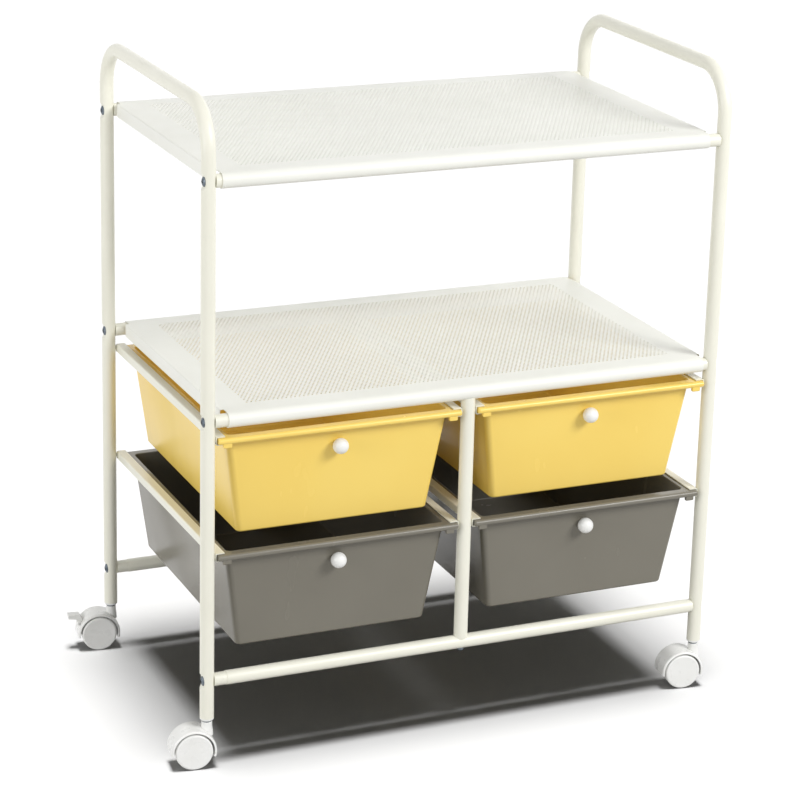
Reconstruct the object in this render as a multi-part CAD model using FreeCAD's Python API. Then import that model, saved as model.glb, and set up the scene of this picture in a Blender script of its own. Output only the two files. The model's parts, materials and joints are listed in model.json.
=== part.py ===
import FreeCAD, Part
import math
import os

# Rolling drawer cart: two bent-tube side frames tied by cross bars, two perforated sheet shelves
# wrapped round the bars, four moulded drawers hung in channel rails, and four twin-wheel casters.
# Millimetres. +X is to the right, +Y to the rear, +Z up. The parts are laid out about the middle of
# the four legs, and the finished cart is moved so that its origin is under its middle, on the floor.

# Side frames and cross bars
leg_spacing_x = 619.0
leg_spacing_y = 349.0
tube_d = 16.0
tube_wall = 1.0
handle_bend_r = 50.0
bottom_bar_rise = 44.3
middle_bar_rise = 303.8
handle_rise = 650.1
top_bar_drop = 79.0
bottom_bar_shift = 4.5
middle_bar_shift = 4.5
top_bar_shift = -4.0
seat_gap = 0.05

# Flats pressed into the legs, for a bolt head outside and for a plug end inside
bolt_flat_reach = 4.9
bolt_flat_height = 12.6
plug_flat_reach = 7.0
plug_flat_height = 16.0
flat_end_slope = 0.9

# Bar end plugs and frame bolts
plug_neck = 9.5
plug_neck_d = 15.0
plug_shank_length = 24.0
plug_shank_gap = 0.1
bolt_d = 5.0
bolt_thread_gap = 0.05
bolt_hole_gap = 0.25
bolt_reach = 30.0
bolt_tip_gap = 2.0
bolt_head_d = 11.0
bolt_head_height = 2.4
bolt_head_edge = 0.5
recess_span = 5.4
recess_width = 1.3
recess_depth = 1.4

# Perforated shelf decks
sheet_t = 0.7
deck_fit = 0.05
deck_edge_reach = 4.5
wrap_angle = 230.0
deck_flange_height = 15.0
deck_flange_end_gap = 2.0
field_margin_x = 36.5
field_margin_y = 27.0
slot_angle = 60.0
slot_width = 3.2
slot_pitch_x = 18.0
slot_least_share = 0.15
slot_bridge = 9.0
slot_rows = 3

# Centre posts
post_d = 16.0
post_wall = 1.0
post_saddle = 2.5
post_plug_length = 16.0
spigot_d = 6.0
spigot_rise = 4.0
spigot_gap = 0.15
post_screw_d = 4.0
post_screw_hole_gap = 0.2
post_screw_grip = 11.0
post_screw_head_d = 8.0
post_screw_head_height = 1.8

# Drawer rails
rail_height = 10.0
rail_flange = 10.5
rail_sheet = 1.2
rail_inner_r = 0.6
rail_front_overhang = 3.5
rail_rear_shortfall = 1.5
upper_rail_drop = 22.2
rail_pitch = 135.5
weld_d = 5.0
weld_gap = 0.4

# Drawers
rim_side_gap = 0.8
rim_slide_gap = 0.4
rim_sheet = 2.4
rim_skirt = 2.0
rim_rear_gap = 4.3
side_rim_width = 12.0
front_rim_width = 11.5
rear_rim_width = 8.7
lip_depth = 5.5
stop_gap = 0.3
stop_tab_width = 10.0
stop_tab_sheet = 4.4
stop_tab_drop = 4.4
stop_tab_inset = 5.2
drawer_wall = 2.0
drawer_floor = 2.2
drawer_stack_gap = 15.2
side_draft = 8.4
front_draft = 6.3
rear_draft = 1.5
rear_narrowing = 1.6
drawer_corner_r = 7.0
foot_bevel = 2.4

# Drawer knobs
knob_d = 18.0
knob_seat_d = 9.0
knob_drop = 25.4
knob_screw_d = 4.0
knob_screw_gap = 0.2
knob_screw_grip = 9.0
knob_bore_tip = 1.0
knob_screw_head_d = 8.0
knob_screw_head_height = 2.2
knob_screw_head_edge = 1.0

# Casters
wheel_d = 42.4
wheel_edge_r = 2.0
wheel_disc = 3.0
wheel_rim = 3.0
wheel_hub_d = 11.0
wheel_side_gap = 0.7
wheel_dish = 0.6
hood_gap = 2.0
hood_wall = 2.5
hood_width = 30.0
hood_front_dip = 15.0
hood_rear_dip = 8.0
web_t = 5.0
axle_d = 5.0
axle_end_gap = 0.3
run_gap = 0.05
caster_trail = 16.5
caster_rest_turn = -8.0
neck_d = 12.0
neck_rise = 5.6
stem_d = 8.0
stem_length = 27.0
stem_press_depth = 9.0
stem_collar_d = 10.5
stem_collar_t = 1.4
stem_groove_t = 2.0
stem_groove_depth = 0.6
stem_tip = 1.5
swivel_gap = 0.3
socket_length = 32.0
socket_fit = 0.05
socket_collar = 3.0
socket_chamfer = 1.6

# Brake levers of the two rear casters
lever_angle = 150.0
lever_pivot_rise = 1.1
lever_width = 12.4
lever_side_gap = 0.3
lever_hub_d = 6.4
lever_pin_d = 3.2
lever_ear = 3.0
lever_reach = 14.0
lever_rise = 5.6
paddle_t = 4.5
shoe_angle = -55.0
shoe_offset = 4.0
shoe_r = 1.3
slot_open_from = 130.0
slot_open_to = 168.0
slot_floor_gap = 0.4

# Values that follow from the driving dimensions
half_x = leg_spacing_x / 2
half_y = leg_spacing_y / 2
tube_r = tube_d / 2
wheel_r = wheel_d / 2
hood_inner_r = wheel_r + hood_gap
hood_outer_r = hood_inner_r + hood_wall
neck_top_z = wheel_r + hood_outer_r + neck_rise
socket_z = neck_top_z + stem_collar_t + swivel_gap
leg_bottom_z = socket_z + socket_collar
bottom_bar_z = leg_bottom_z + bottom_bar_rise
middle_bar_z = bottom_bar_z + middle_bar_rise
handle_z = bottom_bar_z + handle_rise
top_bar_z = handle_z - top_bar_drop
upper_rail_z = middle_bar_z - upper_rail_drop
lower_rail_z = upper_rail_z - rail_pitch
bar_half = half_x - tube_r - plug_neck
wrap_inner_r = tube_r + deck_fit
wrap_outer_r = wrap_inner_r + sheet_t
deck_half = bar_half + deck_edge_reach
post_r = post_d / 2
rail_front_y = -half_y - rail_front_overhang
rail_rear_y = half_y - rail_rear_shortfall
outer_web_x = half_x - tube_r - weld_gap
inner_web_x = post_r + weld_gap
drawer_x = (outer_web_x + inner_web_x) / 2
drawer_half = (outer_web_x - inner_web_x) / 2 - rail_sheet - rim_side_gap
rim_half = rail_height / 2 - rail_sheet - rim_slide_gap
stop_y = rail_front_y - stop_gap
rim_front_y = stop_y - lip_depth
rim_rear_y = half_y - rim_rear_gap
drawer_height = rail_pitch - drawer_stack_gap

X_AXIS = FreeCAD.Vector(1, 0, 0)
Y_AXIS = FreeCAD.Vector(0, 1, 0)
Z_AXIS = FreeCAD.Vector(0, 0, 1)
SIDES = (-1, 1)
BAR_LEVELS = ((bottom_bar_z, bottom_bar_shift), (middle_bar_z, middle_bar_shift), (top_bar_z, top_bar_shift))
HALF_ROOT = math.sqrt(0.5)


def vec(x, y, z):
    return FreeCAD.Vector(x, y, z)


def line(start, end):
    return Part.LineSegment(start, end).toShape()


def arc(start, middle, end):
    return Part.Arc(start, middle, end).toShape()


def rod(radius, start, axis, length):
    return Part.makeCylinder(radius, length, start, axis)


def tube(radius, wall, start, axis, length):
    return rod(radius, start, axis, length).cut(rod(radius - wall, start, axis, length))


def closed_face(edges):
    return Part.Face(Part.Wire(edges))


def polygon_face(points):
    return Part.Face(Part.makePolygon(points + points[:1]))


def joined(first, others):
    return first.multiFuse(others).removeSplitter()


# Side frames: each is one tube bent into front leg, handle and rear leg

def bent_tube(x, radius):
    bend_z = handle_z - handle_bend_r
    bend_y = half_y - handle_bend_r
    cut = handle_bend_r * (1 - HALF_ROOT)
    front_foot = vec(x, -half_y, leg_bottom_z)
    path = Part.Wire([
        line(front_foot, vec(x, -half_y, bend_z)),
        arc(vec(x, -half_y, bend_z), vec(x, -half_y + cut, handle_z - cut), vec(x, -bend_y, handle_z)),
        line(vec(x, -bend_y, handle_z), vec(x, bend_y, handle_z)),
        arc(vec(x, bend_y, handle_z), vec(x, half_y - cut, handle_z - cut), vec(x, half_y, bend_z)),
        line(vec(x, half_y, bend_z), vec(x, half_y, leg_bottom_z)),
    ])
    profile = Part.Wire(Part.Circle(front_foot, Z_AXIS, radius).toShape())
    return path.makePipeShell([profile], True, False)


def pressed_flat(x, y, z, way, reach, height, depth):
    """What a press takes off one side of a leg: a flat with sloped ends, sunk further in by a depth."""
    lengthening = depth * (math.hypot(1, flat_end_slope) - flat_end_slope)
    near = height / 2 + lengthening
    far = near + flat_end_slope * (tube_d - reach + depth)

    def at(u, w):
        return vec(x + way * u, y - tube_d, z + w)

    corners = [at(reach - depth, -near), at(reach - depth, near), at(tube_d, far), at(tube_d, -far)]
    return polygon_face(corners).extrude(Y_AXIS * (2 * tube_d))


def pressed_tube(side, radius, depth):
    x = side * half_x
    flats = []
    for y in (-half_y, half_y):
        for z, shift in BAR_LEVELS:
            flats.append(pressed_flat(x, y, z, side, bolt_flat_reach, bolt_flat_height, depth))
            flats.append(pressed_flat(x, y, z, -side, plug_flat_reach, plug_flat_height, depth))
    return bent_tube(x, radius).cut(Part.makeCompound(flats))


def side_frame(side):
    """The bent tube with its flats; the hollow is drawn in under each flat, so the wall stays even."""
    frame = pressed_tube(side, tube_r, 0).cut(pressed_tube(side, tube_r - tube_wall, tube_wall))
    holes = []
    for y in (-half_y, half_y):
        for z, shift in BAR_LEVELS:
            start = vec(side * half_x - tube_d, y, z)
            holes.append(rod(bolt_d / 2 + bolt_hole_gap, start, X_AXIS, 2 * tube_d))
    return frame.cut(Part.makeCompound(holes))


# Cross bars, their end plugs and the bolts through the legs

def cross_bar(y, z, shift):
    return tube(tube_r, tube_wall, vec(shift - bar_half, y, z), X_AXIS, 2 * bar_half)


def bottom_bar(y):
    hole_r = post_screw_d / 2 + post_screw_hole_gap
    hole = rod(hole_r, vec(0, y, bottom_bar_z - tube_d), Z_AXIS, 2 * tube_d)
    return cross_bar(y, bottom_bar_z, bottom_bar_shift).cut(hole)


def middle_bar(y):
    hole_r = spigot_d / 2 + spigot_gap
    hole = rod(hole_r, vec(0, y, middle_bar_z - tube_d), Z_AXIS, tube_d)
    return cross_bar(y, middle_bar_z, middle_bar_shift).cut(hole)


def bar_end_plug(side, y, z, shift):
    """Plug with a bare neck between the bar end and the flat on the leg."""
    bar_end = vec(shift + side * bar_half, y, z)
    leg = vec(side * half_x, y, z)
    shank = rod(tube_r - tube_wall - plug_shank_gap, bar_end, X_AXIS * -side, plug_shank_length)
    neck = rod(plug_neck_d / 2, bar_end, X_AXIS * side, (leg - bar_end).Length - plug_flat_reach - seat_gap)
    bore = rod(bolt_d / 2 + bolt_thread_gap, leg, X_AXIS * -side, bolt_reach + bolt_tip_gap)
    return shank.fuse(neck).cut(bore)


def cross_recess(centre, axis, across, depth):
    """Two crossed grooves sunk into a screw head from its top centre, along the inward axis."""
    other = axis.cross(across)
    grooves = []
    for long_way, short_way in ((across, other), (other, across)):
        reach = long_way * (recess_span / 2)
        half_width = short_way * (recess_width / 2)
        corners = [centre + reach + half_width, centre - reach + half_width,
                   centre - reach - half_width, centre + reach - half_width]
        grooves.append(polygon_face(corners).extrude(axis * depth))
    return grooves[0].fuse(grooves[1])


def frame_bolt(side, y, z):
    """Bolt with a low domed head seated on the pressed flat, and a shank that runs on into the plug."""
    rim = bolt_head_d / 2
    dome_rise = bolt_head_height - bolt_head_edge
    dome_r = (rim ** 2 + dome_rise ** 2) / (2 * dome_rise)
    half_turn = math.asin(rim / dome_r) / 2
    dome_drop = dome_r * (1 - math.cos(half_turn))
    shank_r = bolt_d / 2
    seat_x = bolt_flat_reach + seat_gap
    length = bolt_reach + seat_x

    def at(radius, height):
        return vec(radius, 0, height)

    outline = closed_face([
        line(at(0, -length), at(shank_r, -length)),
        line(at(shank_r, -length), at(shank_r, 0)),
        line(at(shank_r, 0), at(rim, 0)),
        line(at(rim, 0), at(rim, bolt_head_edge)),
        arc(at(rim, bolt_head_edge), at(dome_r * math.sin(half_turn), bolt_head_height - dome_drop),
            at(0, bolt_head_height)),
        line(at(0, bolt_head_height), at(0, -length)),
    ])
    bolt = outline.revolve(vec(0, 0, 0), Z_AXIS, 360)
    bolt = bolt.cut(cross_recess(at(0, bolt_head_height), Z_AXIS * -1, X_AXIS, recess_depth))
    bolt.Placement = FreeCAD.Placement(vec(side * (half_x + seat_x), y, z),
                                       FreeCAD.Rotation(Z_AXIS, X_AXIS * side))
    return bolt


# Shelf decks: sheet wrapped round the front and rear bars, with folded sides and slanted slots

def deck_sheet(z):
    def at(end, radius, angle):
        turn = math.radians(angle)
        return vec(-bar_half, end * (half_y - radius * math.cos(turn)), z + radius * math.sin(turn))

    tip = 90 + wrap_angle
    middle = 90 + wrap_angle / 2
    edges = [line(at(-1, wrap_outer_r, 90), at(1, wrap_outer_r, 90)),
             arc(at(1, wrap_outer_r, 90), at(1, wrap_outer_r, middle), at(1, wrap_outer_r, tip)),
             line(at(1, wrap_outer_r, tip), at(1, wrap_inner_r, tip)),
             arc(at(1, wrap_inner_r, tip), at(1, wrap_inner_r, middle), at(1, wrap_inner_r, 90)),
             line(at(1, wrap_inner_r, 90), at(-1, wrap_inner_r, 90)),
             arc(at(-1, wrap_inner_r, 90), at(-1, wrap_inner_r, middle), at(-1, wrap_inner_r, tip)),
             line(at(-1, wrap_inner_r, tip), at(-1, wrap_outer_r, tip)),
             arc(at(-1, wrap_outer_r, tip), at(-1, wrap_outer_r, middle), at(-1, wrap_outer_r, 90))]
    return closed_face(edges).extrude(X_AXIS * (2 * bar_half))


def deck_flange(side, z):
    """Side strip that runs out past the wrapped ends, and the flange folded down along its edge."""
    reach = half_y - wrap_outer_r - deck_flange_end_gap
    top = z + wrap_outer_r
    strip_x = bar_half - deck_edge_reach
    strip = Part.makeBox(deck_half - strip_x, 2 * reach, sheet_t, vec(strip_x, -reach, top - sheet_t))
    fold = Part.makeBox(sheet_t, 2 * reach, deck_flange_height,
                        vec(deck_half - sheet_t, -reach, top - deck_flange_height))
    flange = strip.fuse(fold)
    return flange if side > 0 else flange.mirror(vec(0, 0, 0), X_AXIS)


def deck_slots(z):
    field_x = deck_half - field_margin_x
    field_y = half_y - field_margin_y
    slope = math.tan(math.radians(slot_angle))
    row_depth = (2 * field_y - (slot_rows - 1) * slot_bridge) / slot_rows
    lean = row_depth / slope
    mouth = slot_width / math.sin(math.radians(slot_angle))
    columns = int((2 * field_x + lean) // slot_pitch_x) + 1
    slots = []
    for row in range(slot_rows):
        front = -field_y + row * (row_depth + slot_bridge)
        shift = (row * (row_depth + slot_bridge) / slope) % slot_pitch_x
        for column in range(columns):
            left = -field_x - lean + shift + column * slot_pitch_x
            corners = [vec(left, front, z), vec(left + mouth, front, z),
                       vec(left + mouth + lean, front + row_depth, z), vec(left + lean, front + row_depth, z)]
            slots.append(polygon_face(corners).extrude(Z_AXIS * (2 * wrap_outer_r)))
    field = Part.makeBox(2 * field_x, 2 * field_y, 2 * wrap_outer_r, vec(-field_x, -field_y, z))
    least = slots[0].Volume * slot_least_share
    return Part.makeCompound([slot for slot in Part.makeCompound(slots).common(field).Solids
                              if slot.Volume > least])


def shelf_deck(z, shift):
    deck = joined(deck_sheet(z), [deck_flange(side, z) for side in SIDES])
    return deck.cut(deck_slots(z)).translated(vec(shift, 0, 0))


def middle_shelf_deck():
    deck = shelf_deck(middle_bar_z, middle_bar_shift)
    for y in (-half_y, half_y):
        hole = rod(spigot_d / 2 + spigot_gap, vec(0, y, middle_bar_z - tube_d), Z_AXIS, tube_d)
        deck = deck.cut(hole)
    return deck


# Centre posts: tubes that stand on the bottom bars and carry the inner rails

def post_seats(y):
    """The bottom bar and the wrapped middle bar, a seat gap larger, that the post ends are coped to."""
    start = -post_d
    low = rod(tube_r + seat_gap, vec(start, y, bottom_bar_z), X_AXIS, 2 * post_d)
    high = rod(wrap_outer_r + seat_gap, vec(start, y, middle_bar_z), X_AXIS, 2 * post_d)
    return low.fuse(high)


def post_ends():
    return bottom_bar_z + tube_r - post_saddle, middle_bar_z - wrap_outer_r + post_saddle


def centre_post(y):
    low, high = post_ends()
    return tube(post_r, post_wall, vec(0, y, low), Z_AXIS, high - low).cut(post_seats(y))


def post_end_plugs(y):
    low, high = post_ends()
    radius = post_r - post_wall - plug_shank_gap
    foot = rod(radius, vec(0, y, low), Z_AXIS, post_plug_length)
    head = rod(radius, vec(0, y, high - post_plug_length), Z_AXIS, post_plug_length)
    spigot_top = middle_bar_z - tube_r + spigot_rise
    spigot = rod(spigot_d / 2, vec(0, y, high - post_plug_length), Z_AXIS,
                 spigot_top - high + post_plug_length)
    bore_r = post_screw_d / 2 + bolt_thread_gap
    bore = rod(bore_r, vec(0, y, bottom_bar_z), Z_AXIS, tube_r + post_screw_grip + bolt_tip_gap)
    return [foot.cut(post_seats(y)).cut(bore), head.cut(post_seats(y)).fuse(spigot).removeSplitter()]


def post_screw(y):
    under = bottom_bar_z - tube_r - post_screw_head_height
    bar = rod(tube_r + seat_gap, vec(-tube_d, y, bottom_bar_z), X_AXIS, 2 * tube_d)
    head = rod(post_screw_head_d / 2, vec(0, y, under), Z_AXIS, tube_r + post_screw_head_height).cut(bar)
    shank_start = under + post_screw_head_height / 2
    shank = rod(post_screw_d / 2, vec(0, y, shank_start), Z_AXIS,
                bottom_bar_z + tube_r + post_screw_grip - shank_start)
    recess = cross_recess(vec(0, y, under), Z_AXIS, X_AXIS, recess_depth)
    return head.fuse(shank).cut(recess)


# Drawer rails: roll-formed channels welded to the legs and to the centre posts

def channel(web_x, into, z):
    h = rail_height / 2
    t = rail_sheet
    ri = rail_inner_r
    r = rail_sheet + rail_inner_r

    def at(u, w):
        return vec(web_x + into * u, rail_front_y, z + w)

    edges = [line(at(rail_flange, h), at(r, h)),
             arc(at(r, h), at(r - r * HALF_ROOT, h - r + r * HALF_ROOT), at(0, h - r)),
             line(at(0, h - r), at(0, r - h)),
             arc(at(0, r - h), at(r - r * HALF_ROOT, r - h - r * HALF_ROOT), at(r, -h)),
             line(at(r, -h), at(rail_flange, -h)),
             line(at(rail_flange, -h), at(rail_flange, t - h)),
             line(at(rail_flange, t - h), at(r, t - h)),
             arc(at(r, t - h), at(r - ri * HALF_ROOT, r - h - ri * HALF_ROOT), at(t, r - h)),
             line(at(t, r - h), at(t, h - r)),
             arc(at(t, h - r), at(r - ri * HALF_ROOT, h - r + ri * HALF_ROOT), at(r, h - t)),
             line(at(r, h - t), at(rail_flange, h - t)),
             line(at(rail_flange, h - t), at(rail_flange, h))]
    return closed_face(edges).extrude(Y_AXIS * (rail_rear_y - rail_front_y))


def drawer_rail(web_x, into, carrier_x, carrier_r, z):
    rail = channel(web_x, into, z)
    for y in (-half_y, half_y):
        carrier = rod(carrier_r + seat_gap, vec(carrier_x, y, z - weld_d), Z_AXIS, 2 * weld_d)
        reach = abs(carrier_x - web_x) + rail_sheet / 2
        weld = rod(weld_d / 2, vec(web_x + into * rail_sheet / 2, y, z), X_AXIS * -into, reach)
        rail = rail.fuse(weld.cut(carrier))
    return rail.removeSplitter()


# Drawers: tapered bins with a rim that slides in the rails

def sunk(draft, depth):
    """How far a wall with this draft has come in at a depth."""
    return depth * math.tan(math.radians(draft))


def drawer_section(x, z, depth, inset, radius):
    """Rounded outline of the bin at a depth below the rim top, drawn in by an inset."""
    wide = drawer_half - side_rim_width - sunk(side_draft, depth) - inset
    slim = wide - rear_narrowing
    front = rim_front_y + front_rim_width + sunk(front_draft, depth) + inset
    rear = rim_rear_y - rear_rim_width - sunk(rear_draft, depth) - inset
    level = z + rim_half - depth
    r = radius
    k = radius * (1 - HALF_ROOT)

    def at(u, w):
        return vec(x + u, w, level)

    return Part.Wire([
        line(at(r - wide, front), at(wide - r, front)),
        arc(at(wide - r, front), at(wide - k, front + k), at(wide, front + r)),
        line(at(wide, front + r), at(slim, rear - r)),
        arc(at(slim, rear - r), at(slim - k, rear - k), at(slim - r, rear)),
        line(at(slim - r, rear), at(r - slim, rear)),
        arc(at(r - slim, rear), at(k - slim, rear - k), at(-slim, rear - r)),
        line(at(-slim, rear - r), at(-wide, front + r)),
        arc(at(-wide, front + r), at(k - wide, front + k), at(r - wide, front)),
    ])


def drawer_solid(x, z):
    sections = [drawer_section(x, z, 0, 0, drawer_corner_r),
                drawer_section(x, z, drawer_height - foot_bevel, 0, drawer_corner_r),
                drawer_section(x, z, drawer_height, foot_bevel, drawer_corner_r - foot_bevel)]
    return Part.makeLoft(sections, True, True)


def drawer_hollow(x, z):
    radius = drawer_corner_r - drawer_wall
    sections = [drawer_section(x, z, 0, drawer_wall, radius),
                drawer_section(x, z, drawer_height - drawer_floor, drawer_wall, radius)]
    return Part.makeLoft(sections, True, True)


def drawer_lip(x, z):
    """Half-round bar along the front edge, whose ends are the ears in front of the rails."""
    back = rim_front_y + lip_depth
    nose = rim_front_y + rim_half
    left = x - drawer_half
    face = closed_face([
        line(vec(left, back, z + rim_half), vec(left, nose, z + rim_half)),
        arc(vec(left, nose, z + rim_half), vec(left, rim_front_y, z), vec(left, nose, z - rim_half)),
        line(vec(left, nose, z - rim_half), vec(left, back, z - rim_half)),
        line(vec(left, back, z - rim_half), vec(left, back, z + rim_half)),
    ])
    return face.extrude(X_AXIS * (2 * drawer_half))


def drawer_rim(x, z):
    """Flat rim with a skirt turned down round its sides and rear, and two stop tabs at the front."""
    start = rim_front_y + lip_depth / 2
    depth = rim_rear_y - start
    left = x - drawer_half
    width = 2 * drawer_half
    under = z - rim_half
    pieces = [Part.makeBox(width, depth, rim_sheet, vec(left, start, z + rim_half - rim_sheet)),
              Part.makeBox(rim_skirt, depth, 2 * rim_half, vec(left, start, under)),
              Part.makeBox(rim_skirt, depth, 2 * rim_half, vec(left + width - rim_skirt, start, under)),
              Part.makeBox(width, rim_skirt, 2 * rim_half, vec(left, rim_rear_y - rim_skirt, under))]
    for side in SIDES:
        tab_x = x + side * (drawer_half - stop_tab_inset - stop_tab_width / 2)
        pieces.append(Part.makeBox(stop_tab_width, stop_tab_sheet, stop_tab_drop + rim_half,
                                   vec(tab_x - stop_tab_width / 2, stop_y - stop_tab_sheet,
                                       under - stop_tab_drop)))
    return pieces


def knob_place(x, z):
    """Seat of the knob on the slanted front wall, and the direction that it faces."""
    seat = vec(x, rim_front_y + front_rim_width + sunk(front_draft, knob_drop), z + rim_half - knob_drop)
    tilt = math.radians(front_draft)
    return seat, vec(0, -math.cos(tilt), -math.sin(tilt))


def drawer(x, z):
    shell = drawer_solid(x, z).multiFuse([drawer_lip(x, z)] + drawer_rim(x, z))
    shell = shell.cut(drawer_hollow(x, z)).removeSplitter()
    seat, out = knob_place(x, z)
    hole = rod(knob_screw_d / 2 + knob_screw_gap, seat - out * (3 * drawer_wall), out, 6 * drawer_wall)
    return shell.cut(hole)


def turned(points, seat, out):
    """Solid of revolution from (radius, height) points, stood on a seat along a direction."""
    outline = polygon_face([vec(radius, 0, height) for radius, height in points])
    solid = outline.revolve(vec(0, 0, 0), Z_AXIS, 360)
    solid.Placement = FreeCAD.Placement(seat, FreeCAD.Rotation(Z_AXIS, out))
    return solid


def drawer_knob(x, z):
    seat, out = knob_place(x, z)
    radius = knob_d / 2
    rise = math.sqrt(radius ** 2 - (knob_seat_d / 2) ** 2)
    ball = Part.makeSphere(radius, seat + out * rise)
    wall = rod(knob_d, seat, out * -1, knob_d)
    bore = rod(knob_screw_d / 2 + bolt_thread_gap, seat, out, knob_screw_grip + knob_bore_tip)
    return ball.cut(wall).cut(bore)


def knob_screw(x, z):
    seat, out = knob_place(x, z)
    inner = seat - out * (drawer_wall * math.cos(math.radians(front_draft)) + seat_gap)
    shank_r = knob_screw_d / 2
    head_r = knob_screw_head_d / 2
    length = (inner - seat).Length + knob_screw_grip
    return turned([(0, -knob_screw_head_height), (head_r - knob_screw_head_edge, -knob_screw_head_height),
                   (head_r, -knob_screw_head_height / 2), (head_r, 0), (shank_r, 0), (shank_r, length),
                   (0, length)], inner, out)


# Casters: twin wheels under a hood that swivels on a stem; local origin under the stem, on the floor

def polar(radius, angle, y):
    turn = math.radians(angle)
    return vec(radius * math.cos(turn) - caster_trail, y, wheel_r + radius * math.sin(turn))


def sector(inner, outer, start, end, width):
    """Part of a ring about the axle, between two radii and two angles, centred across the caster."""
    y = -width / 2
    middle = (start + end) / 2
    face = closed_face([
        arc(polar(outer, start, y), polar(outer, middle, y), polar(outer, end, y)),
        line(polar(outer, end, y), polar(inner, end, y)),
        arc(polar(inner, end, y), polar(inner, middle, y), polar(inner, start, y)),
        line(polar(inner, start, y), polar(outer, start, y)),
    ])
    return face.extrude(Y_AXIS * width)


def axle_line(radius, width):
    return rod(radius, vec(-caster_trail, -width / 2, wheel_r), Y_AXIS, width)


def lever_pivot():
    return polar(hood_outer_r + lever_pivot_rise, lever_angle, 0)


def lever_ears():
    inner = lever_width / 2 + lever_side_gap
    ears = []
    for side in SIDES:
        start = lever_pivot() + Y_AXIS * (side * inner)
        ears.append(rod(lever_hub_d / 2, start, Y_AXIS * side, lever_ear))
    return ears


def caster_hood(with_brake):
    start = -hood_front_dip
    end = 180 + hood_rear_dip
    shell = sector(hood_inner_r, hood_outer_r, start, end, hood_width)
    web = sector(axle_d, hood_inner_r + hood_wall / 2, start, end, web_t)
    hub = axle_line(wheel_hub_d / 2, web_t)
    root_z = wheel_r + hood_inner_r / 2
    neck = rod(neck_d / 2, vec(0, 0, root_z), Z_AXIS, neck_top_z - root_z)
    neck = neck.cut(axle_line(hood_inner_r, hood_width))
    hood = shell.multiFuse([web, hub, neck])
    if with_brake:
        opening = sector(wheel_r - slot_floor_gap, hood_outer_r + lever_hub_d, slot_open_from, slot_open_to,
                         lever_width + 2 * lever_side_gap)
        hood = hood.cut(opening).multiFuse(lever_ears())
        hood = hood.cut(rod(lever_pin_d / 2 + run_gap, lever_pivot() - Y_AXIS * hood_width,
                            Y_AXIS, 2 * hood_width))
    hood = hood.removeSplitter().cut(axle_line(axle_d / 2 + seat_gap, hood_width))
    return hood.cut(rod(stem_d / 2 + seat_gap, vec(0, 0, neck_top_z - stem_press_depth), Z_AXIS, stem_d * 2))


def caster_stem():
    r = stem_d / 2
    low = neck_top_z - stem_press_depth + seat_gap
    collar = neck_top_z + seat_gap
    collar_top = collar + stem_collar_t - seat_gap
    top = collar_top + stem_length
    groove = top - stem_tip - 2 * stem_groove_t
    return turned([(0, low), (r, low), (r, collar), (stem_collar_d / 2, collar),
                   (stem_collar_d / 2, collar_top), (r, collar_top), (r, groove),
                   (r - stem_groove_depth, groove),
                   (r - stem_groove_depth, groove + stem_groove_t), (r, groove + stem_groove_t),
                   (r, top - stem_tip), (r - stem_tip, top), (0, top)], vec(0, 0, 0), Z_AXIS)


def leg_socket():
    r = tube_r
    sleeve = tube_r - tube_wall - socket_fit
    bore = stem_d / 2 + run_gap
    top = leg_bottom_z + socket_length
    return turned([(bore, socket_z), (r - socket_chamfer, socket_z), (r, socket_z + socket_chamfer),
                   (r, leg_bottom_z), (sleeve, leg_bottom_z), (sleeve, top), (bore, top)],
                  vec(0, 0, 0), Z_AXIS)


def wheel_faces():
    """Distance from the caster's middle to the inner and outer face of a wheel."""
    return web_t / 2 + wheel_side_gap, hood_width / 2


def caster_axle():
    outer = wheel_faces()[1]
    return axle_line(axle_d / 2, 2 * (outer - wheel_disc - axle_end_gap))


def caster_wheel(side):
    inner, outer = wheel_faces()
    bore = axle_d / 2 + run_gap
    floor = outer - wheel_disc
    edge = wheel_r - wheel_edge_r
    cut = wheel_edge_r * (1 - HALF_ROOT)
    rim = wheel_r - wheel_rim

    def at(radius, height):
        return vec(radius, 0, height)

    outline = closed_face([
        line(at(bore, inner), at(wheel_hub_d / 2, inner)),
        line(at(wheel_hub_d / 2, inner), at(wheel_hub_d / 2, floor)),
        line(at(wheel_hub_d / 2, floor), at(rim, floor)),
        line(at(rim, floor), at(rim, inner)),
        line(at(rim, inner), at(edge, inner)),
        line(at(edge, inner), at(wheel_r, inner + wheel_edge_r)),
        line(at(wheel_r, inner + wheel_edge_r), at(wheel_r, outer - wheel_edge_r)),
        arc(at(wheel_r, outer - wheel_edge_r), at(wheel_r - cut, outer - cut), at(edge, outer)),
        line(at(edge, outer), at(0, outer - wheel_dish)),
        line(at(0, outer - wheel_dish), at(0, floor)),
        line(at(0, floor), at(bore, floor)),
        line(at(bore, floor), at(bore, inner)),
    ])
    wheel = outline.revolve(vec(0, 0, 0), Z_AXIS, 360)
    wheel.Placement = FreeCAD.Placement(vec(-caster_trail, 0, wheel_r),
                                        FreeCAD.Rotation(Z_AXIS, Y_AXIS * side))
    return wheel


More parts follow.
